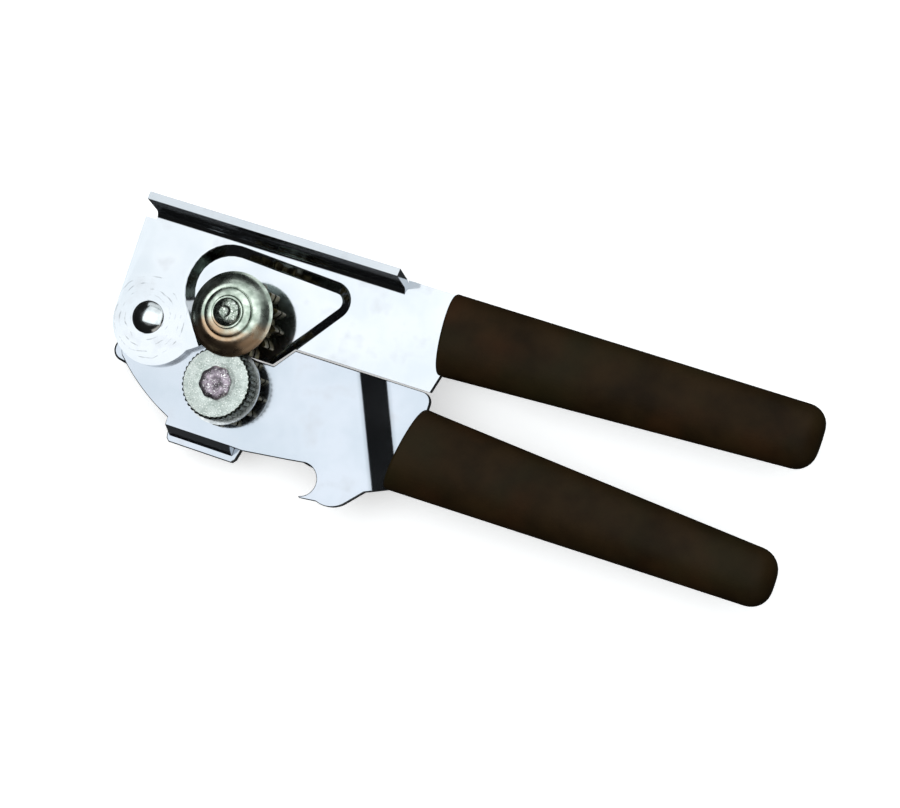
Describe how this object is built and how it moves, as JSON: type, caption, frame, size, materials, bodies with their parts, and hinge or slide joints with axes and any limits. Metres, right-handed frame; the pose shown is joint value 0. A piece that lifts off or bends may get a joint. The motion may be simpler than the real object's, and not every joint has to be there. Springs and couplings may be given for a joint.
{
  "type": "manual can opener",
  "caption": "Plier-handled can opener with a geared domed cutter, a serrated feed wheel, a cap-lifter hook and a two-winged turning key behind the head.",
  "frame": {"origin": "middle of the underside of the whole object's box, lying flat with the cutter side up", "axes": "+X along the handles to the grips' ends, +Y towards the flange, +Z out of the cutter side, along the gear axes"},
  "size_m": [0.1842, 0.0611, 0.0292],
  "materials": {
    "chrome_plate": "bright chrome plate on stamped sheet steel, lightly scratched",
    "vinyl_grip": "dark brown dipped vinyl, soft sheen",
    "cutter_steel": "hardened steel, aged to a greenish grey with tan stains",
    "gear_steel": "olive-brown aged steel teeth",
    "feed_steel": "pale speckled plated steel",
    "shaft_steel": "peened steel",
    "rivet_steel": "plated rivet",
    "washer_steel": "plain washer steel",
    "bush_bronze": "sintered bronze"
  },
  "bodies": {
    "upper_handle": {"upper_arm": "chrome_plate", "upper_grip": "vinyl_grip", "pivot_rivet": "rivet_steel", "pivot_washer": "washer_steel", "cutter_stud": "rivet_steel", "cutter_back_washer": "washer_steel"},
    "cutter": {"cutter_wheel": "cutter_steel", "cutter_gear": "gear_steel", "cutter_hub": "cutter_steel", "cutter_thrust_washer": "washer_steel"},
    "lower_handle": {"lower_arm": "chrome_plate", "rear_plate": "chrome_plate", "lower_grip": "vinyl_grip", "feed_bushing": "bush_bronze", "rear_bushing": "bush_bronze"},
    "crank_drive": {"feed_shaft": "shaft_steel", "feed_wheel": "feed_steel", "feed_collar": "washer_steel", "feed_gear": "gear_steel", "feed_thrust_washer": "washer_steel", "crank_key": "chrome_plate", "crank_washer": "washer_steel"}
  },
  "joints": [
    {"name": "handle_pivot", "type": "hinge", "parent": "upper_handle", "child": "lower_handle", "pos_m": [-0.08107, 0.00042, 0.0159], "axis": [0, 0, -1], "range_deg": [0, 35]},
    {"name": "crank_spin", "type": "hinge", "parent": "lower_handle", "child": "crank_drive", "pos_m": [-0.05527, -0.01006, 0.0159], "axis": [0, 0, 1], "continuous": true},
    {"name": "cutter_spin", "type": "hinge", "parent": "upper_handle", "child": "cutter", "pos_m": [-0.05687, 0.00742, 0.0159], "axis": [0, 0, 1], "continuous": true}
  ],
  "couplings": [
    {"joint": "cutter_spin", "follows": "crank_spin", "ratio": -1}
  ]
}
